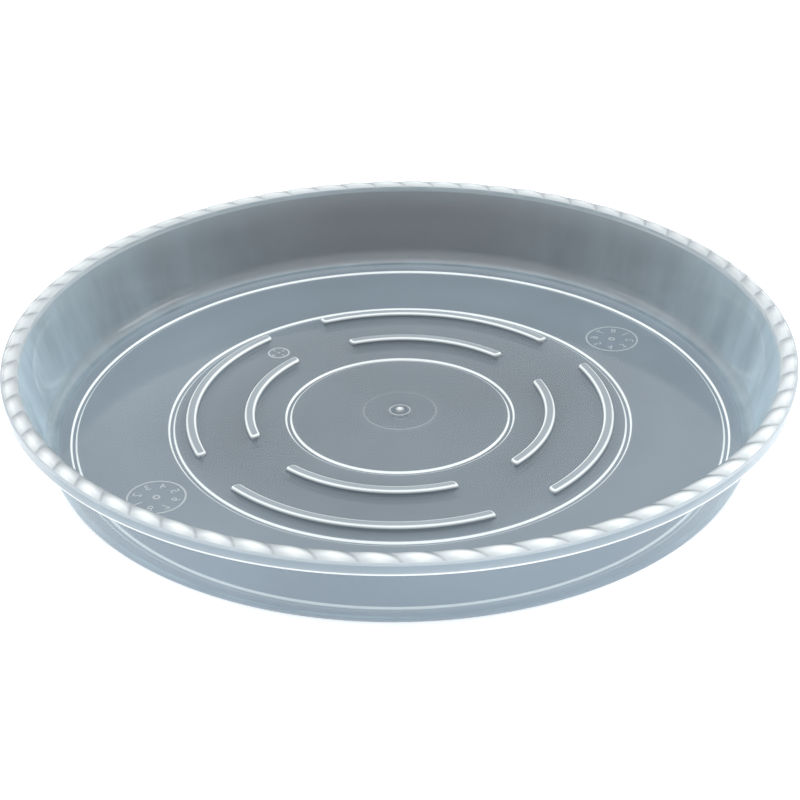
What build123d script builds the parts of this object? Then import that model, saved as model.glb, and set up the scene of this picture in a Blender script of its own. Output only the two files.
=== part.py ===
# Round plant saucer, one injection moulding in clear plastic.
# Millimetres, +Z up. The origin is on the saucer's axis, in the plane that it stands on.
# The wall flares up from the floor and turns over into a lip with a short skirt. The top of the
# lip is moulded as a twisted rope. Arc ribs on the floor hold a pot above the water, and three
# rings under the floor are the feet.

import os
from math import acos, atan2, cos, hypot, pi, radians, sin, tan

from build123d import *

# Overall sizes
rim_diameter = 340.0          # across the skirt, the widest place
overall_height = 42.0         # from the standing plane to the top of the rope
floor_diameter = 298.4        # to where the heel curve starts
floor_thickness = 1.4
wall_thickness = 1.4
heel_radius = 5.5             # curve between floor and wall, on the inside
heel_flats = 4                # straight steps that make up the curve, which keep the mesh light

# Foot rings under the floor
inner_foot_diameters = (99.0, 202.2)
outer_foot_inset = 5.7        # from the floor's edge to the middle of the outer ring
foot_height = 0.8
foot_width = 2.6              # at the floor
foot_tip_width = 1.5          # on the ground

# Lip: the turned-down edge, hollow and open below
lip_width = 7.6               # from the wall's inner face to the skirt's outer face
band_height = 2.6             # plain band inside the bowl, between wall and rope
band_lean = 0.7               # how far the band leans outwards over its height
ledge_width = 0.8             # plain ledge round the outside of the rope
ledge_bevel = 0.4
skirt_length = 5.25           # from the ledge to the skirt's lower edge
skirt_thickness = 1.4
ceiling_thickness = 1.25      # between the bottom of a rope groove and the hollow below
ceiling_bevel = 1.5           # sloping shoulders of the hollow's ceiling

# Rope moulded on the lip
rope_height = 1.6             # from the ledge to the top of a strand
strand_rise = 1.0             # a strand's back above the grooves beside it
strand_pitch = 15.26          # along the widest circle
strand_slant = 36.0           # degrees, between a groove and the radius that it crosses
strand_phase = 1.8            # degrees, from +X to a groove
strand_bury = 0.25            # how far a strand's ends sink into the lip
strand_root = 0.6             # how far a strand reaches down into the lip
shoulder_reach_share = 0.6    # of the way from a strand's top to its end
shoulder_height_share = 0.7   # of a strand's height
crest_inset = 3.7             # from the skirt's outer face to the rope's top

# Ribs on the floor, hollow from below
rib_circle_diameters = (133.2, 184.7)
rib_height = 2.3              # above the floor
rib_width = 5.0
rib_top_bevel = 1.4
rib_core_width = 2.2
rib_top_wall = 1.2
rib_end_wall = 1.4
channel_width = 28.5          # of the two crossing channels that part the ribs
channel_angle = 32.8          # degrees, from +X to the first channel

# Gate mark at the centre
gate_disc_diameter = 32.2
gate_disc_step = 0.15
gate_dome_diameter = 9.0
gate_top_diameter = 4.0
gate_dome_height = 1.1
gate_wall = 1.0
gate_stub_diameter = 1.6
gate_stub_length = 0.5

overrun = 2.0                 # how far cutting shapes pass the faces that they cut
bevel_limit_share = 0.4       # of a rib's width, the most that a bevel takes

# Heights and radii that follow from these
rim_radius = rim_diameter / 2
heel_centre_radius = floor_diameter / 2
heel_outer_radius = heel_radius + wall_thickness
floor_top = foot_height + floor_thickness
heel_centre_height = floor_top + heel_radius
ledge_height = overall_height - rope_height
ledge_inner_radius = rim_radius - ledge_width
lip_foot_radius = rim_radius - lip_width
lip_foot_height = ledge_height - band_height
band_top_radius = lip_foot_radius + band_lean
crest_radius = rim_radius - crest_inset
skirt_bottom = ledge_height - skirt_length
ceiling_height = overall_height - strand_rise - ceiling_thickness
strand_count = round(pi * rim_diameter / strand_pitch)
foot_ring_diameters = (*inner_foot_diameters, floor_diameter - 2 * outer_foot_inset)


def wall_angle():
    # The wall is the tangent from the lip's foot to the inner heel curve. This is the direction
    # from the heel's centre to the point where they touch.
    run = lip_foot_radius - heel_centre_radius
    rise = lip_foot_height - heel_centre_height
    return atan2(rise, run) - acos(heel_radius / hypot(run, rise))


def heel_point(radius, angle):
    return (heel_centre_radius + radius * cos(angle), heel_centre_height + radius * sin(angle))


def outer_wall_radius(height):
    touch = wall_angle()
    start = heel_point(heel_outer_radius, touch)
    return start[0] - (height - start[1]) * tan(touch)


def heel_curve(radius):
    # Points from the floor to the wall.
    low = -pi / 2
    step = (wall_angle() - low) / heel_flats
    return [heel_point(radius, low + step * index) for index in range(heel_flats + 1)]


def turned(outline):
    return revolve(Plane.XZ * make_face(outline), Axis.Z)


def bowl():
    # Floor, heel, wall and a lip that is still solid, as one half section turned about the axis.
    band_top = (band_top_radius, ledge_height)
    ledge_edge = (rim_radius - ledge_bevel, ledge_height)
    ledge_turn = (rim_radius, ledge_height - ledge_bevel)
    outline = Polyline(
        (0, foot_height), (0, floor_top), *heel_curve(heel_radius),
        (lip_foot_radius, lip_foot_height), band_top, ledge_edge, ledge_turn,
        (rim_radius, skirt_bottom), (outer_wall_radius(skirt_bottom), skirt_bottom),
        *reversed(heel_curve(heel_outer_radius)), (0, foot_height))
    return turned(outline)


def strand_section(steps, fall):
    # The rope cut along a slanted upright plane, so many steps round from the first groove. Its
    # top lies lower by the fall in a groove than on a strand's back.
    slant = radians(strand_slant)
    inner = (band_top_radius - crest_radius) / cos(slant)
    outer = (ledge_inner_radius - crest_radius) / cos(slant)
    top = overall_height - fall
    end = ledge_height - strand_bury
    root = end - strand_root
    shoulder = end + (top - end) * shoulder_height_share
    outline = Polyline(
        (inner, end), (inner * shoulder_reach_share, shoulder), (0, top),
        (outer * shoulder_reach_share, shoulder), (outer, end), (outer, root), (inner, root),
        (inner, end))
    angle = strand_phase + 360 / strand_count * steps
    place = Rot(0, 0, angle) * Pos(crest_radius, 0, 0) * Rot(0, 0, strand_slant)
    return place * (Plane.XZ * make_face(outline))


def rope():
    # Each strand is a pillow between two grooves, and shares its side faces with the next ones.
    strand = loft([
        strand_section(0, strand_rise), strand_section(0.5, 0), strand_section(1, strand_rise)])
    step = 360 / strand_count
    others = [Rot(0, 0, step * index) * strand for index in range(1, strand_count)]
    return strand.fuse(*others, glue=True)


def lip_hollow():
    # The space under the lip, between the wall and the skirt.
    skirt_side = rim_radius - skirt_thickness
    shoulder = ceiling_height - ceiling_bevel
    wall_side = outer_wall_radius(shoulder)
    low = skirt_bottom - overrun
    return turned(Polyline(
        (wall_side, shoulder), (wall_side + ceiling_bevel, ceiling_height),
        (skirt_side - ceiling_bevel, ceiling_height), (skirt_side, shoulder), (skirt_side, low),
        (outer_wall_radius(low), low), (wall_side, shoulder)))


def foot_ring(diameter):
    # Tapers from the floor down to the ground.
    middle = diameter / 2
    root = foot_height + floor_thickness / 2
    inner = middle - foot_width / 2
    outer = middle + foot_width / 2
    return turned(Polyline(
        (inner, root), (inner, foot_height), (middle - foot_tip_width / 2, 0),
        (middle + foot_tip_width / 2, 0), (outer, foot_height), (outer, root), (inner, root)))


def ring_band(diameter, width, bottom, top):
    height = top - bottom
    outside = Cylinder((diameter + width) / 2, height)
    inside = Cylinder((diameter - width) / 2, height + overrun)
    return Pos(0, 0, (bottom + top) / 2) * (outside - inside)


def channels(width):
    # Two crossing bars through the centre, where the ribs stop.
    bar = Box(rim_diameter, width, 2 * overall_height)
    return Rot(0, 0, channel_angle) * bar + Rot(0, 0, channel_angle + 90) * bar


def ribs(diameter):
    # Four arcs of one circle, with bevelled top edges.
    ring = ring_band(diameter, rib_width, floor_top - floor_thickness / 2, floor_top + rib_height)
    arcs = ring - channels(channel_width)
    bevel = min(rib_top_bevel, bevel_limit_share * rib_width)
    return chamfer(arcs.edges().filter_by(GeomType.CIRCLE).group_by(Axis.Z)[-1], bevel)


def rib_cores(diameter):
    # Grooves up into the ribs from below, which keep the plastic even.
    ceiling = floor_top + rib_height - rib_top_wall
    groove = ring_band(diameter, rib_core_width, foot_height - overrun, ceiling)
    return groove - channels(channel_width + 2 * rib_end_wall)


def frustum(low_diameter, high_diameter, bottom, height):
    return Pos(0, 0, bottom + height / 2) * Cone(low_diameter / 2, high_diameter / 2, height)


def gate_mark():
    # A thin disc with a low dome in its middle, over the injection point.
    disc = Pos(0, 0, floor_top) * Cylinder(gate_disc_diameter / 2, 2 * gate_disc_step)
    dome_foot = floor_top + gate_disc_step
    dome = frustum(gate_dome_diameter, gate_top_diameter, dome_foot, gate_dome_height)
    return disc + dome


def gate_recess():
    # The dome is hollow below, so that the stub of the gate stays off the ground.
    height = floor_thickness + gate_disc_step + gate_dome_height - gate_wall
    mouth = gate_dome_diameter - gate_wall
    recess = frustum(mouth, gate_top_diameter - gate_wall, foot_height, height)
    below = Pos(0, 0, foot_height - overrun / 2) * Cylinder(mouth / 2, overrun)
    stub = Pos(0, 0, foot_height + height) * Cylinder(gate_stub_diameter / 2, 2 * gate_stub_length)
    return recess + below - stub


def saucer():
    body = bowl() + rope()
    body -= lip_hollow()
    body += [foot_ring(diameter) for diameter in foot_ring_diameters]
    for diameter in rib_circle_diameters:
        body += ribs(diameter)
        body -= rib_cores(diameter)
    body += gate_mark()
    body -= gate_recess()
    return body


os.makedirs("parts", exist_ok=True)
whole = saucer()
whole.label = "saucer"
export_step(whole, "parts/saucer.step")
print("strands", strand_count, "volume in cm3", whole.volume / 1000)
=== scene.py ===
import bmesh
import bpy
import math
import numpy as np
from mathutils import Matrix, Vector


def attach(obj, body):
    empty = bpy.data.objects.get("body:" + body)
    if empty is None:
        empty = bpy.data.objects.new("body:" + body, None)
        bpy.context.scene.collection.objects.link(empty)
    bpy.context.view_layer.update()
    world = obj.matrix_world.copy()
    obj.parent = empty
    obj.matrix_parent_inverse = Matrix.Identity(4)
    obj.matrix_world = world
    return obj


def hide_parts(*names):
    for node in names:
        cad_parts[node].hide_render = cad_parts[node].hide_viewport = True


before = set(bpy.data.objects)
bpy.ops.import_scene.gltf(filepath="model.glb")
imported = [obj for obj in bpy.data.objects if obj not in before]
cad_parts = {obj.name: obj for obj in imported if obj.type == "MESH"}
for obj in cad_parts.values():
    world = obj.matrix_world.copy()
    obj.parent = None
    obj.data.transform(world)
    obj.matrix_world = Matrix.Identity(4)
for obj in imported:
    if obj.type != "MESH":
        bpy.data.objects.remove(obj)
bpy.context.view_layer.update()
scene = bpy.context.scene
mm = 0.001
mergeGap = 1e-6   # metres

# The saucer in mm and degrees, with the solid's main sizes. The (radius, height) pairs are
# places in its half section.
saucer = {
    "shell": {
        "height": 42.0,
        "rimRadius": 170.0,
        "floorRadius": 149.2,
        "floorTop": 2.2,
        "floorUnder": 0.8,
        "wall": 1.4,
        "heelRadius": 5.5,
        "lipFoot": (162.4, 37.8),
        "bandTop": (163.1, 40.4),
        "bandBulge": 0.2,
        "ledgeRadius": 169.2,
        "ledgeFlat": 0.2,
        "ledgeRound": 0.5,
        "skirtUnder": 35.15,
        "skirtWall": 1.4,
        "skirtRound": 0.4,
        "skirtBevel": 0.3,                              # inside the skirt's lower edge
        "skirtInside": 1.5,                             # a row inside, above the lower edge
        "skirtRows": (1.2, 2.0, 3.0, 3.9, 4.2, 4.35, 4.5),  # below the ledge
        "ceiling": 39.6,
        "archSkirt": ((0, 2), (0.5, 0.8), (1.5, 0)),    # in from the skirt, below the ceiling
        "archWall": ((1.5, 0), (0.5, 0.6)),             # out from the wall, below the ceiling
        "archFoot": 1.5,                                # where the arch meets the wall
    },
    "rope": {
        "strands": 70,
        "phase": 1.8,            # first groove
        "slant": 36.0,
        "crestRadius": 166.3,
        "groove": 1.2,
        "bulge": 0.5,            # how far a strand leans in over the band
        "bandLean": 0.2,         # how much of that is left at the band's lowest row
        "roundness": 2.2,        # along the rope, from groove to groove
        "crossRoundness": 2.1,   # across the rope
        "turnFrom": 150,         # radius from which the columns begin to follow the grooves
        "columns": (0, 0.03, 0.08, 0.16, 0.27, 0.39, 0.5, 0.61, 0.73, 0.84, 0.92, 0.97),
        "closest": 0.03,         # angle between two columns
    },
    "ribs": {
        "circles": (66.6, 92.35),
        "height": 2.3,
        "halfWidth": 2.5,
        "channel": 14.25,        # half of the gap between two ribs
        "channelAngle": 32.8,
        "cornerPower": 3.4,
        "topPower": 5,
        "coreHalfWidth": 1.1,
        "coreTop": 3.3,
        "corePower": 6,
        "endWall": 1.4,
        "endColumns": (-0.3, 2.6, 0.15),  # from, to and step, past a rib's end
    },
    "rings": {
        "radii": (49.5, 101.1, 143.5),
        "flat": 0.7,
        "halfWidth": 1.3,
        "line": 1.05,            # from a bead's middle to the painted highlight line along its edge
        "lineWidth": 0.5,
        "lineGain": 1.6,
    },
    "gate": {
        "disc": 16.1,
        "step": 0.15,
        "discRows": ((-0.5, 1), (-0.15, 1), (0.05, 0), (0.4, 0)),  # from its edge, of its step
        "domeRows": ((0, 1.1), (0.8, 1.1), (1.55, 1.05), (2, 0.8), (2.5, 0.4), (3.6, 0.12),
                     (4, 0.3), (4.5, 0.38), (5, 0.2), (5.4, 0)),   # above the disc
        "recess": ((4.1, 0), (3.9, 0.2), (1.7, 1.45), (1.4, 1.65), (0, 1.65)),  # above floorUnder
        "discLine": (0.5, 0.4),  # half width and strength of the painted highlight line
        "dome": 4.5,
        "domeLine": (0.8, 0.55),
        "nub": 2.2,
        "nubPower": 0.5,
    },
    "rowCounts": {"heel": 12, "wall": 12, "band": 5, "rope": 26, "ledge": 5, "skirtEdge": 4,
                  "outside": 12, "heelUnder": 14, "bendUnder": 6},
    # radii of plain rows, then how far from a ring's and a rib's middle more rows lie
    "above": ((20, 28, 36, 44, 55, 60, 74, 80, 86, 98, 108, 116, 124, 132, 139, 146.5),
              (2.1, 1.7, 1.45, 1.25, 1.12, 0.99, 0.8, 0.5, 0),
              (3.2, 2.62, 2.5, 2.47, 2.4, 2.28, 2.1, 1.85, 1.5, 1.1, 0.55, 0)),
    "below": ((147, 120, 80, 56, 34, 16, 8),
              (2.1, 1.7, 1.45, 1.3, 1.17, 1.05, 0.93, 0.75, 0.55, 0),
              (1.5, 1.1, 1.05, 0.95, 0.8, 0.4, 0)),
    # linear colour, how solid it looks from its own side and from behind, how much painted
    # reflection makes it paler when seen on edge, and how much painted shade darkens its outline
    "zones": {
        "floor": ((0.20, 0.245, 0.28), 0.16, 0.15, 0, 0),
        "heel": ((0.105, 0.134, 0.158), 0.90, 0.10, 0.7, 0),
        "wall": ((0.088, 0.112, 0.136), 0.94, 0.10, 1, 0),
        "band": ((0.50, 0.58, 0.61), 0.90, 0.25, 0, 0),
        "rope": ((0.37, 0.43, 0.46), 0.92, 0.30, 0, 1),
        "ledge": ((0.40, 0.48, 0.54), 0.92, 0.30, 0, 0.8),
        "skirt": ((0.32, 0.40, 0.46), 0.78, 0.25, 0, 0.3),
        "skirtEdge": ((0.60, 0.68, 0.74), 0.90, 0.50, 0, 0),
        "hollow": ((0.30, 0.37, 0.44), 0.60, 0.20, 0, 0),
        "outside": ((0.215, 0.290, 0.355), 0.45, 0.12, 0, 0),
        "heelUnder": ((0.215, 0.290, 0.355), 0.45, 0.12, 0, 0),
        "under": ((0.142, 0.177, 0.205), 0.92, 0.95, 0, 0),
    },
    "paint": {
        "white": (0.95, 0.97, 0.96),
        "whiteAlpha": 0.97,
        "whiteFarAlpha": 0.9,
        "wallTop": (0.3, 0.62),              # how pale the painted light under the lip is, and from which share of its height
        "shoulder": (0.72, 0.24, 0.95, 0.6),  # of the painted highlight on a rib's shoulders: place, half width, strength and power
        "ribBack": (0.7, 0.1, 0.12),         # of the painted paler back: edge, fade and strength
        "ribFoot": (1.05, 0.06, 0.85),       # edge, fade and how solid
        # painted glow on a rib's painted highlights
        "ribLight": 0.8,
        # painted light over the whole underside
        "underGain": 1.06,
        "underRises": ((0.58, 75, 120), (0.1, 143, 149)),  # painted light: gain, and from and to which radius
        "crest": (0.52, 0.35),               # of the painted highlight: place between two grooves, and width
        "crestOuter": (0.3, 0.6, 0.95),      # dimming, and from and to which share outwards
        "crestInner": (0.35, 0.15, 0.55),    # what is left inside, and from and to
        "ropePale": (0.26, 0.52),            # everywhere, and more as painted highlights on the crests
        # painted glow on the crests
        "ropeLight": (0.7, 0.5, 0.75),
        "groove": (0.6, 0.08),               # painted shade: tint left in a groove, and its width
        # painted highlights on the ledge and along the skirt's lower edge
        "ledgePale": 0.25,
        "edgePale": 0.85,
        # painted glow along the skirt's lower edge
        "paintedGlow": 0.5,
        "edgeHeight": 1.0,                   # of the painted highlight stripe along the skirt's lower edge
        "edgeFade": 0.25,
    },
}
shell, rope, ribs, rings, gate = (
    saucer[part] for part in ("shell", "rope", "ribs", "rings", "gate"))


def wallTouch():
    # direction from the heel's centre to where the wall leaves the heel curve
    run = shell["lipFoot"][0] - shell["floorRadius"]
    rise = shell["lipFoot"][1] - (shell["floorTop"] + shell["heelRadius"])
    return math.atan2(rise, run) - math.acos(shell["heelRadius"] / math.hypot(run, rise))


def heelPoint(radius, angle):
    return (shell["floorRadius"] + radius * math.cos(angle),
            shell["floorTop"] + shell["heelRadius"] + radius * math.sin(angle))


def outsideRadius(height):
    touch = wallTouch()
    r, z = heelPoint(shell["heelRadius"] + shell["wall"], touch)
    return r - (height - z) * math.tan(touch)


def between(a, b, count):
    return [(a[0] + (b[0] - a[0]) * k / count, a[1] + (b[1] - a[1]) * k / count)
            for k in range(1, count + 1)]


def turn(centre, radius, start, end, count):
    return [(centre[0] + radius * math.cos(start + (end - start) * k / count),
             centre[1] + radius * math.sin(start + (end - start) * k / count))
            for k in range(1, count + 1)]


def rowRadii(plain, ringSteps, ribSteps):
    radii = set(plain)
    for circles, steps in ((rings["radii"], ringSteps), (ribs["circles"], ribSteps)):
        for circle in circles:
            for step in steps:
                radii.update((round(circle - step, 3), round(circle + step, 3)))
    return sorted(radii)


def sectionRows():
    # (radius, height, zone) from the middle of the floor out over the lip and back underneath
    top, under, counts = shell["floorTop"], shell["floorUnder"], saucer["rowCounts"]
    rows = []

    def add(points, zone):
        rows.extend((r, z, zone) for r, z in points)

    add([(r, top + gate["step"] + up) for r, up in gate["domeRows"]], "floor")
    add([(gate["disc"] + out, top + gate["step"] * up) for out, up in gate["discRows"]], "floor")
    add([(r, top) for r in rowRadii(*saucer["above"])], "floor")
    add([(shell["floorRadius"], top)], "floor")

    touch = wallTouch()
    centre = (shell["floorRadius"], top + shell["heelRadius"])
    add(turn(centre, shell["heelRadius"], -math.pi / 2, touch, counts["heel"]), "heel")
    foot, bandTop = shell["lipFoot"], shell["bandTop"]
    add(between(heelPoint(shell["heelRadius"], touch), foot, counts["wall"]), "wall")
    for k in range(1, counts["band"] + 1):
        t = k / counts["band"]
        bulge = shell["bandBulge"] * math.sin(math.pi * t)
        add([(foot[0] + (bandTop[0] - foot[0]) * t - bulge,
              foot[1] + (bandTop[1] - foot[1]) * t)], "band")

    inner, ledge = bandTop
    outer, rim = shell["ledgeRadius"], shell["rimRadius"]
    for k in range(1, counts["rope"]):
        t = (1 - math.cos(math.pi * k / counts["rope"])) / 2
        add([(inner + (outer - inner) * t, ledge)], "rope")
    add([(outer, ledge), (outer + shell["ledgeFlat"], ledge)], "ledge")
    bend = shell["ledgeRound"]
    add(turn((rim - bend, ledge - bend), bend, math.pi / 2, 0, counts["ledge"]), "ledge")

    low, bend, bevel = shell["skirtUnder"], shell["skirtRound"], shell["skirtBevel"]
    inside = rim - shell["skirtWall"]
    add([(rim, ledge - step) for step in shell["skirtRows"]], "skirt")
    add([(rim, low + bend)], "skirt")
    add(turn((rim - bend, low + bend), bend, 0, -math.pi / 2, counts["skirtEdge"]), "skirtEdge")
    add([(inside + bevel, low), (inside, low + bevel)], "skirtEdge")

    ceiling = shell["ceiling"]
    archFoot = (outsideRadius(ceiling - shell["archFoot"]), ceiling - shell["archFoot"])
    add([(inside, low + shell["skirtInside"])], "hollow")
    add([(inside - x, ceiling - down) for x, down in shell["archSkirt"]], "hollow")
    add([(archFoot[0] + x, ceiling - down) for x, down in shell["archWall"]], "hollow")

    outerHeel = shell["heelRadius"] + shell["wall"]
    add([archFoot], "outside")
    add(between(archFoot, heelPoint(outerHeel, touch), counts["outside"]), "outside")
    bend = turn(centre, outerHeel, touch, -math.pi / 2, counts["heelUnder"])
    add(bend[:-counts["bendUnder"]], "heelUnder")
    add(bend[-counts["bendUnder"]:], "under")
    add([(r, under) for r in reversed(rowRadii(*saucer["below"]))], "under")
    add([(r, under + up) for r, up in gate["recess"]], "under")
    return rows


def columnAngles():
    # close together at the grooves and at the ribs' ends
    step = 360 / rope["strands"]
    angles = [(rope["phase"] + (k + share) * step) % 360
              for k in range(rope["strands"]) for share in rope["columns"]]
    for circle in ribs["circles"]:
        gap = math.degrees(math.asin(ribs["channel"] / circle))
        for k in range(4):
            middle = ribs["channelAngle"] + 90 * k
            for side in (-1, 1):
                for extra in np.arange(*ribs["endColumns"]):
                    angles.append((middle + side * (gap + extra)) % 360)
    angles = np.unique(np.round(angles, 3))
    return np.radians(angles[np.append(True, np.diff(angles) > rope["closest"])])


def ropeHeight(radius, strand):
    # pillows between slanted grooves: place is 1 in the grooves and 0 on a strand's back
    crest, base = rope["crestRadius"], shell["bandTop"][1]
    place = np.abs(2 * strand - 1)
    side = np.where(radius < crest, crest - shell["bandTop"][0], shell["ledgeRadius"] - crest)
    across = np.clip(np.abs(radius - crest) / side, 0, 1)
    tall = shell["height"] - base - rope["groove"] * place ** rope["roundness"]
    return base + tall * (1 - across ** rope["crossRoundness"])


def slantShift(radius, zone):
    # the mesh's columns follow the grooves over the rope, and run straight on the floor
    crest, tangent = rope["crestRadius"], math.tan(math.radians(rope["slant"]))
    inner, outer, start = shell["bandTop"][0], shell["ledgeRadius"], rope["turnFrom"]
    if zone in ("skirt", "skirtEdge", "ledge", "hollow"):
        return (outer - crest) * tangent / outer
    if zone in ("rope", "band"):
        return (min(max(radius, inner), outer) - crest) * tangent / inner
    fade = min(max((radius - start) / (inner - start), 0), 1)
    if zone == "wall":
        return (inner - crest) * tangent / inner * fade
    if zone == "outside":
        return (outer - crest) * tangent / outer * fade
    return 0


def ribDepth(radius, angle, halfWidth, endSpace):
    # 0 on a rib's middle line and 1 at its foot, with rounded corners at its ends
    channel, power = math.radians(ribs["channelAngle"]), ribs["cornerPower"]
    inside = np.minimum(np.abs(radius * np.sin(angle - channel)),
                        np.abs(radius * np.cos(angle - channel))) - ribs["channel"] - endSpace
    beyond = np.maximum(halfWidth - inside, 0)
    return np.min([(np.abs(radius - circle) ** power + beyond ** power) ** (1 / power) / halfWidth
                   for circle in ribs["circles"]], axis=0)


def smooth(value, low, high):
    t = np.clip((value - low) / (high - low), 0, 1)
    return t * t * (3 - 2 * t)


def line(distance, width):
    return np.clip(1 - np.abs(distance) / width, 0, 1)


def pillow(depth, power):
    return (1 - np.clip(depth, 0, 1) ** power) ** 0.5


def shapeSkin(zones, angles, grid, r, z):
    # moves the rows in place, and tells the painting where on a strand or rib each point is
    ropeRows, floorRows, underRows = (zones == name for name in ("rope", "floor", "under"))
    strand = ((angles - math.radians(rope["phase"])) / math.radians(360 / rope["strands"])) % 1
    inner, outer = shell["bandTop"][0], shell["ledgeRadius"]
    outward = (r[ropeRows] - inner) / (outer - inner)
    z[ropeRows] = ropeHeight(r[ropeRows], strand)
    # the strands lean in over the band, so the rope's inner edge is scalloped
    swell = rope["bulge"] * (1 - (2 * strand - 1) ** 2)
    r[ropeRows] -= swell * (1 - outward) ** 2
    bandRows = zones == "band"
    bandUp = np.linspace(rope["bandLean"], 1, np.count_nonzero(bandRows))[:, None]
    r[bandRows] -= swell * bandUp ** 3

    depth = ribDepth(r[floorRows], grid[floorRows], ribs["halfWidth"], 0)
    z[floorRows] += ribs["height"] * pillow(depth, ribs["topPower"])
    core = ribDepth(r[underRows], grid[underRows], ribs["coreHalfWidth"], ribs["endWall"])
    z[underRows] += (ribs["coreTop"] - shell["floorUnder"]) * pillow(core, ribs["corePower"])
    for ring in rings["radii"]:
        bead = 1 - smooth(np.abs(r[underRows] - ring), rings["flat"], rings["halfWidth"])
        z[underRows] -= shell["floorUnder"] * bead
    return strand, outward, depth


def paintSkin(zones, r, z, strand, outward, depth):
    paint = saucer["paint"]
    ropeRows, floorRows, underRows, wallRows, skirtRows, edgeRows = (
        zones == name for name in ("rope", "floor", "under", "wall", "skirt", "skirtEdge"))
    ones, looks = np.ones(r.shape), [saucer["zones"][zone] for zone in zones]
    tint = ones[..., None] * np.array([look[0] for look in looks])[:, None]
    alpha, farAlpha, sideGlow, outline = (
        ones * np.array([look[k] for look in looks])[:, None] for k in range(1, 5))

    # painted light: the wall is painted paler, towards the band's tint, under the lip
    strength, start = paint["wallTop"]
    up = (z[wallRows] - shell["floorTop"]) / (shell["lipFoot"][1] - shell["floorTop"])
    paler = strength * np.clip((up - start) / (1 - start), 0, 1) ** 2
    bandTint = np.array(saucer["zones"]["band"][0])
    tint[wallRows] += paler[..., None] * (bandTint - tint[wallRows])

    # painted highlights on a rib's shoulders and a paler painted back; the rib is painted more
    # solid, so its flanks show dark
    pale = np.zeros(r.shape)
    place, width, strength, power = paint["shoulder"]
    shoulder = strength * line(depth - place, width) ** power
    place, width, strength = paint["ribBack"]
    back = strength * smooth(place - depth, 0, width)
    pale[floorRows] = np.maximum(shoulder, back)
    place, width, solid = paint["ribFoot"]
    alpha[floorRows] += smooth(place - depth, 0, width) * (solid - alpha[floorRows])
    paintedGlow = paint["ribLight"] * pale

    # painted highlight lines along the rings, and painted light that makes the underside paler
    # outwards
    fade = np.full(r[underRows].shape, paint["underGain"])
    for ring in rings["radii"]:
        edge = line(np.abs(r[underRows] - ring) - rings["line"], rings["lineWidth"])
        bright = np.clip(rings["lineGain"] * edge, 0, 1)
        pale[underRows] = np.maximum(pale[underRows], bright)
        paintedGlow[underRows] = np.maximum(paintedGlow[underRows], bright)
    for gain, low, high in paint["underRises"]:
        fade += gain * smooth(r[underRows], low, high)
    tint[underRows] *= fade[..., None]

    # painted highlights on the gate's nub and along the edges of its dome and disc
    nub = line(r[floorRows], gate["nub"]) ** gate["nubPower"]
    pale[floorRows] = np.maximum(pale[floorRows], nub)
    for radius, (width, strength) in ((gate["disc"], gate["discLine"]),
                                      (gate["dome"], gate["domeLine"])):
        edge = strength * line(r[floorRows] - radius, width)
        pale[floorRows] = np.maximum(pale[floorRows], edge)

    # painted highlights on the rope's crests, dimmer on its inner half and towards its outer edge
    place, width = paint["crest"]
    dimming, low, high = paint["crestOuter"]
    crest = np.exp(-((strand - place) / width) ** 2) * (1 - dimming * smooth(outward, low, high))
    left, low, high = paint["crestInner"]
    crest *= left + (1 - left) * smooth(outward, low, high)
    # painted shade darkens the grooves
    dark, width = paint["groove"]
    outOfGroove = smooth(np.minimum(strand, 1 - strand), 0, width)
    base, more = paint["ropePale"]
    pale[ropeRows] = base + more * crest * outOfGroove
    strength, low, high = paint["ropeLight"]
    paintedGlow[ropeRows] = strength * crest * smooth(outward, low, high)
    tint[ropeRows] *= (dark + (1 - dark) * outOfGroove)[:, None]

    # painted highlights along the skirt's lower edge and on the ledge, with painted glow on the
    # edge
    stripe = shell["skirtUnder"] + paint["edgeHeight"] - z[skirtRows]
    pale[skirtRows] = paint["edgePale"] * smooth(stripe, 0, paint["edgeFade"])
    pale[zones == "ledge"] = paint["ledgePale"]
    pale[edgeRows] = paint["edgePale"]
    paintedGlow[edgeRows] = paint["paintedGlow"]

    tint += pale[..., None] * (np.array(paint["white"]) - tint)
    alpha += pale * (paint["whiteAlpha"] - alpha)
    bothSides = (underRows | edgeRows)[:, None]
    farAlpha += pale * (paint["whiteFarAlpha"] - farAlpha) * bothSides
    return (np.concatenate([tint, alpha[..., None]], -1),
            np.stack([farAlpha, sideGlow, paintedGlow, outline], -1))


def paintMesh(mesh, tints, skin):
    # tint and solidity, then solidity from behind, painted paleness on edge, painted glow and
    # how much the outline is painted darker
    for name, values in (("plasticTint", tints), ("skinPaint", skin)):
        layer = mesh.attributes.new(name, "FLOAT_COLOR", "POINT")
        layer.data.foreach_set("color", values.astype(np.float32).ravel())


def addObject(name, data):
    piece = bpy.data.objects.new(name, data)
    scene.collection.objects.link(piece)
    return piece


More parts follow.
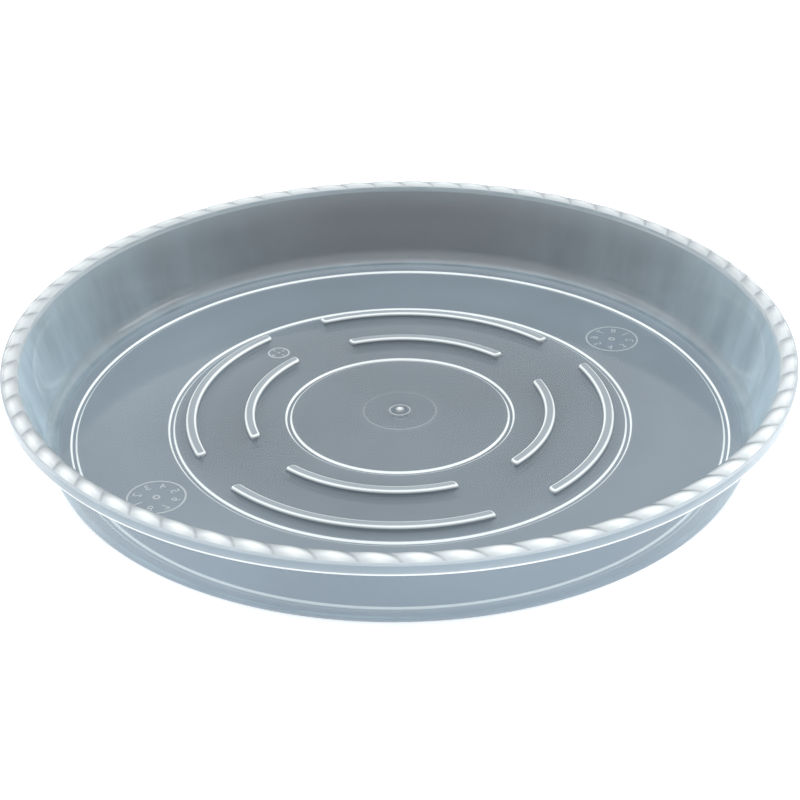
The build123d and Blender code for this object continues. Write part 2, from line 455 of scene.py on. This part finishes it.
def makeSaucer():
    rows, angles = sectionRows(), columnAngles()
    print("saucer", len(rows), "rows", len(angles), "columns")
    ones = np.ones(len(angles))
    r, z = (np.array([row[k] for row in rows])[:, None] * ones for k in (0, 1))
    grid = angles + np.array([slantShift(row[0], row[2]) for row in rows])[:, None]
    zones = np.array([row[2] for row in rows])
    places = shapeSkin(zones, angles, grid, r, z)
    tints, skin = paintSkin(zones, r, z, *places)

    coords = np.stack([r * np.cos(grid), r * np.sin(grid), z], -1) * mm
    index = np.arange(r.size).reshape(r.shape)
    a, b = index[:-1], index[1:]
    faces = np.stack([a, b, np.roll(b, -1, 1), np.roll(a, -1, 1)], -1).reshape(-1, 4)
    mesh = bpy.data.meshes.new("saucerBody")
    mesh.from_pydata(coords.reshape(-1, 3).tolist(), [], faces.tolist())
    paintMesh(mesh, tints, skin)
    form = bmesh.new()
    form.from_mesh(mesh)
    poles = [v for v in form.verts if v.co.xy.length < mergeGap]
    bmesh.ops.remove_doubles(form, verts=poles, dist=mergeGap)
    bmesh.ops.recalc_face_normals(form, faces=form.faces)
    form.to_mesh(mesh)
    form.free()
    for polygon in mesh.polygons:
        polygon.use_smooth = True
    return addObject("saucerBody", mesh)


# plain number dials moulded under the floor, read from below
dials = {
    "relief": 0.25,
    "sunk": 0.06,          # how far the marks reach into the floor
    "lineWidth": 0.8,
    "hub": 0.13,           # of the dial's radius
    "numberRing": 0.66,
    "corners": (48, 24),   # of the dial's ring and of its hub
    "curveSteps": 4,
    "places": (            # centre, radius, how many numbers, their size
        ((102, 67), 12.5, 8, 5.5),
        ((-101, -65), 12.5, 8, 5.5),
        ((-57, 58), 5.2, 4, 3.4)),
    "tint": (0.72, 0.78, 0.80, 0.80),
    "skin": (0.9, 0, 0, 0),  # solid from behind too, with no glow
}


def addBand(form, middle, outer, inner, corners, low, high):
    # closed ring of flat section round a point
    spots = [math.tau * (k + 0.5) / corners for k in range(corners)]
    loops = [[form.verts.new(((middle[0] + radius * math.cos(spot)) * mm,
                              (middle[1] + radius * math.sin(spot)) * mm,
                              height * mm)) for spot in spots]
             for radius, height in ((outer, low), (outer, high), (inner, high), (inner, low))]
    for a, b in zip(loops, loops[1:] + loops[:1]):
        for k in range(corners):
            after = (k + 1) % corners
            form.faces.new((a[k], a[after], b[after], b[k]))


def addDigit(form, text, size, x, y, spin, low, high):
    curve = bpy.data.curves.new("digit", "FONT")
    curve.body = text
    curve.size = size * mm
    curve.extrude = (high - low) / 2 * mm
    curve.resolution_u = dials["curveSteps"]
    curve.align_x, curve.align_y = "CENTER", "CENTER"
    holder = addObject("digit", curve)
    bpy.context.view_layer.update()
    mesh = bpy.data.meshes.new_from_object(holder)
    place = Vector((x, y, (low + high) / 2)) * mm
    mesh.transform(Matrix.Translation(place) @ Matrix.Rotation(spin, 4, "Z")
                   @ Matrix.Rotation(math.pi, 4, "Y"))
    form.from_mesh(mesh)
    bpy.data.objects.remove(holder)
    bpy.data.curves.remove(curve)
    bpy.data.meshes.remove(mesh)


def makeDials():
    low, high = shell["floorUnder"] - dials["relief"], shell["floorUnder"] + dials["sunk"]
    ringCorners, hubCorners = dials["corners"]
    form = bmesh.new()
    for (x, y), radius, count, size in dials["places"]:
        spin = math.atan2(y, x) - math.pi / 2
        addBand(form, (x, y), radius, radius - dials["lineWidth"], ringCorners, low, high)
        hub = radius * dials["hub"]
        addBand(form, (x, y), hub, hub / 2, hubCorners, low, high)
        reach = radius * dials["numberRing"]
        for k in range(count):
            turned = spin - math.tau * k / count
            addDigit(form, str(k + 1), size, x - reach * math.sin(turned),
                     y + reach * math.cos(turned), turned, low, high)
    bmesh.ops.remove_doubles(form, verts=form.verts, dist=mergeGap)
    bmesh.ops.recalc_face_normals(form, faces=form.faces)
    mesh = bpy.data.meshes.new("numberDials")
    form.to_mesh(mesh)
    form.free()
    ones = np.ones((len(mesh.vertices), 1))
    paintMesh(mesh, ones * np.array(dials["tint"]), ones * np.array(dials["skin"]))
    print("dials", len(mesh.vertices), "vertices")
    return addObject("numberDials", mesh)


# the clear plastic of both pieces, ranges as (from, to)
plastic = {
    "ior": 1.49,
    "clouds": (9, 3),              # scale and detail of slow changes in the moulding
    "cloudRange": (0.3, 0.7),
    "cloudGain": (0.9, 1.1),
    "streaks": (55, 4),            # streaks of painted reflection that run up the wall
    "streakStretch": (1, 1, 0.16),
    "streakRange": (0.35, 0.68),
    "streakGain": (0.75, 1.3),
    # painted reflection on edge and painted shade at the outline
    "edgeBlend": 0.5,
    "sideTint": (0.50, 0.68, 0.77),
    "sideRange": (0.02, 0.8),
    "sideMost": 0.78,
    "outlineTint": (0.14, 0.17, 0.19),
    "outlineRange": (0.35, 0.95),
    "outlineMost": 0.95,
    # strength and colour of the painted glow
    "paintedGlow": 0.36,
    "paintedGlowColour": (0.92, 1, 0.98),
    "roughness": (0.033, 0.088),
}


def feed(tree, value, socket):
    # takes a node's output or a plain value
    if isinstance(value, bpy.types.NodeSocket):
        tree.links.new(value, socket)
    else:
        socket.default_value = value


def mapRange(tree, value, fromRange, toRange):
    node = tree.nodes.new("ShaderNodeMapRange")
    ends = (*fromRange, *toRange)
    for name, end in zip(("From Min", "From Max", "To Min", "To Max"), ends):
        node.inputs[name].default_value = end
    tree.links.new(value, node.inputs["Value"])
    return node.outputs["Result"]


def multiply(tree, a, b):
    node = tree.nodes.new("ShaderNodeMath")
    node.operation = "MULTIPLY"
    feed(tree, a, node.inputs[0])
    feed(tree, b, node.inputs[1])
    return node.outputs["Value"]


def mix(tree, kind, factor, a, b):
    node = tree.nodes.new("ShaderNodeMix")
    node.data_type = kind
    for name, value in (("Factor", factor), ("A", a), ("B", b)):
        feed(tree, value, node.inputs[name])
    return node.outputs["Result"]


def noise(tree, vector, scale, detail):
    node = tree.nodes.new("ShaderNodeTexNoise")
    node.inputs["Scale"].default_value = scale
    node.inputs["Detail"].default_value = detail
    tree.links.new(vector, node.inputs["Vector"])
    return node.outputs["Fac"]


def painted(tree, name):
    node = tree.nodes.new("ShaderNodeAttribute")
    node.attribute_name = name
    return node.outputs


def clearPlastic():
    material = bpy.data.materials.new("clearPlastic")
    material.use_nodes = True
    tree = material.node_tree
    shader = tree.nodes["Principled BSDF"]
    shader.inputs["IOR"].default_value = plastic["ior"]
    tint, skin = painted(tree, "plasticTint"), painted(tree, "skinPaint")
    parts = tree.nodes.new("ShaderNodeSeparateColor")
    tree.links.new(skin["Color"], parts.inputs["Color"])
    place = tree.nodes.new("ShaderNodeTexCoord").outputs["Object"]

    clouds = noise(tree, place, *plastic["clouds"])
    colour = tree.nodes.new("ShaderNodeVectorMath")
    colour.operation = "SCALE"
    tree.links.new(tint["Color"], colour.inputs[0])
    cloudy = mapRange(tree, clouds, plastic["cloudRange"], plastic["cloudGain"])
    tree.links.new(cloudy, colour.inputs["Scale"])

    tall = tree.nodes.new("ShaderNodeMapping")
    tall.inputs["Scale"].default_value = plastic["streakStretch"]
    tree.links.new(place, tall.inputs["Vector"])
    streaks = noise(tree, tall.outputs["Vector"], *plastic["streaks"])
    streaky = mapRange(tree, streaks, plastic["streakRange"], plastic["streakGain"])

    # painted reflection: the plastic is painted paler, in streaks, where it is seen on edge, and
    # painted shade darkens the rope at its outline
    edgeOn = tree.nodes.new("ShaderNodeLayerWeight")
    edgeOn.inputs["Blend"].default_value = plastic["edgeBlend"]
    sideways = mapRange(tree, edgeOn.outputs["Facing"], plastic["sideRange"],
                        (0, plastic["sideMost"]))
    amount = multiply(tree, multiply(tree, sideways, streaky), parts.outputs["Green"])
    paler = mix(tree, "RGBA", amount, colour.outputs["Vector"], (*plastic["sideTint"], 1))
    outlined = mapRange(tree, edgeOn.outputs["Facing"], plastic["outlineRange"],
                        (0, plastic["outlineMost"]))
    rimShare = multiply(tree, outlined, skin["Alpha"])
    darker = mix(tree, "RGBA", rimShare, paler, (*plastic["outlineTint"], 1))
    tree.links.new(darker, shader.inputs["Base Color"])

    # painted glow: the plastic emits light by the glow painted on its skin, on ring lines, rib
    # shoulders, rope crests and the skirt's edge
    lit = multiply(tree, parts.outputs["Blue"], plastic["paintedGlow"])
    tree.links.new(lit, shader.inputs["Emission Strength"])
    shader.inputs["Emission Color"].default_value = (*plastic["paintedGlowColour"], 1)

    # a wall counts mostly once, by the side that is looked at
    facing = tree.nodes.new("ShaderNodeNewGeometry")
    clear = mix(tree, "FLOAT", facing.outputs["Backfacing"], tint["Alpha"], parts.outputs["Red"])
    tree.links.new(clear, shader.inputs["Alpha"])

    # the gloss changes with the clouds too
    rough = mapRange(tree, clouds, (0, 1), plastic["roughness"])
    tree.links.new(rough, shader.inputs["Roughness"])
    print("plastic made")
    return material


clear = clearPlastic()
body = makeSaucer()
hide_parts("saucer")
for piece in (body, makeDials()):
    piece.data.materials.append(clear)
    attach(piece, "root")


# camera at the photo's angle, worked out from the rings and the rim
cameraSetup = {
    "pixels": 800,
    "sensor": 36,
    "focal": 1716.0,        # pixels
    "centre": 399.698,
    "distance": 776.141,    # mm
    "elevation": 0.526505,
    "roll": -0.0152237,
    "aim": 13.209,
}


def makeCamera():
    c = cameraSetup
    data = bpy.data.cameras.new("photoCamera")
    data.sensor_width = c["sensor"]
    data.lens = c["focal"] * c["sensor"] / c["pixels"]
    data.shift_x = (c["pixels"] / 2 - c["centre"]) / c["pixels"]
    camera = addObject("photoCamera", data)
    cosE, sinE = math.cos(c["elevation"]), math.sin(c["elevation"])
    cosR, sinR = math.cos(c["roll"]), math.sin(c["roll"])
    forward = Vector((0, cosE, -sinE))
    right, up = Vector((1, 0, 0)), Vector((0, sinE, cosE))
    x, y = right * cosR + up * sinR, up * cosR - right * sinR
    place = Vector((0, c["aim"] - c["distance"] * cosE, c["distance"] * sinE)) * mm
    turnMatrix = Matrix((x, y, -forward)).transposed().to_4x4()
    camera.matrix_world = Matrix.Translation(place) @ turnMatrix
    scene.camera = camera


makeCamera()
print("camera set")


# floor and light, in metres and watts
studio = {
    "floor": (0.93, 0.935, 0.94),
    "floorSize": 30,
    "floorHeight": -0.0002,
    "floorRoughness": 0.9,
    "floorGlow": 0.6,
    "sky": (0.96, 0.98, 1),
    "skyHeights": (0.15, 0.95),
    "skySide": 0.7,
    "skyTop": 1.5,
    "nearRange": (-0.9, 0.1),
    "nearSide": 0.4,               # darker room on the near side
    "lamps": {                     # place, size and power
        "overhead": ((-0.2, 0.3, 1.5), (1.6, 1.2), 5.0),
        "leftLamp": ((-1.3, 0.15, 0.55), (0.7, 0.6), 1.5),
        "rightLamp": ((1.3, 0.15, 0.55), (0.7, 0.6), 3.4),
    },
    "throughSkins": 32,            # how many clear skins a ray may pass
}


def makeFloor():
    bpy.ops.mesh.primitive_plane_add(size=studio["floorSize"],
                                     location=(0, 0, studio["floorHeight"]))
    floor = bpy.context.object
    floor.name = "studioFloor"
    material = bpy.data.materials.new("paleFloor")
    material.use_nodes = True
    shader = material.node_tree.nodes["Principled BSDF"]
    shader.inputs["Base Color"].default_value = (*studio["floor"], 1)
    shader.inputs["Roughness"].default_value = studio["floorRoughness"]
    shader.inputs["Emission Color"].default_value = (1, 1, 1, 1)
    shader.inputs["Emission Strength"].default_value = studio["floorGlow"]
    floor.data.materials.append(material)


def makeSky():
    world = bpy.data.worlds.new("softSky")
    scene.world = world
    world.use_nodes = True
    tree = world.node_tree
    place = tree.nodes.new("ShaderNodeTexCoord")
    split = tree.nodes.new("ShaderNodeSeparateXYZ")
    tree.links.new(place.outputs["Generated"], split.inputs["Vector"])
    height = mapRange(tree, split.outputs["Z"], studio["skyHeights"],
                      (studio["skySide"], studio["skyTop"]))
    front = mapRange(tree, split.outputs["Y"], studio["nearRange"], (studio["nearSide"], 1))
    background = tree.nodes["Background"]
    background.inputs["Color"].default_value = (*studio["sky"], 1)
    tree.links.new(multiply(tree, height, front), background.inputs["Strength"])


def makeLamps():
    for name, (place, size, power) in studio["lamps"].items():
        data = bpy.data.lights.new(name, "AREA")
        data.shape = "RECTANGLE"
        data.size, data.size_y = size
        data.energy = power
        lamp = addObject(name, data)
        lamp.location = place
        lamp.rotation_euler = (-Vector(place)).to_track_quat("-Z", "Y").to_euler()


makeFloor()
makeSky()
makeLamps()
scene.view_settings.view_transform = "Standard"
scene.cycles.transparent_max_bounces = studio["throughSkins"]
print("studio set")
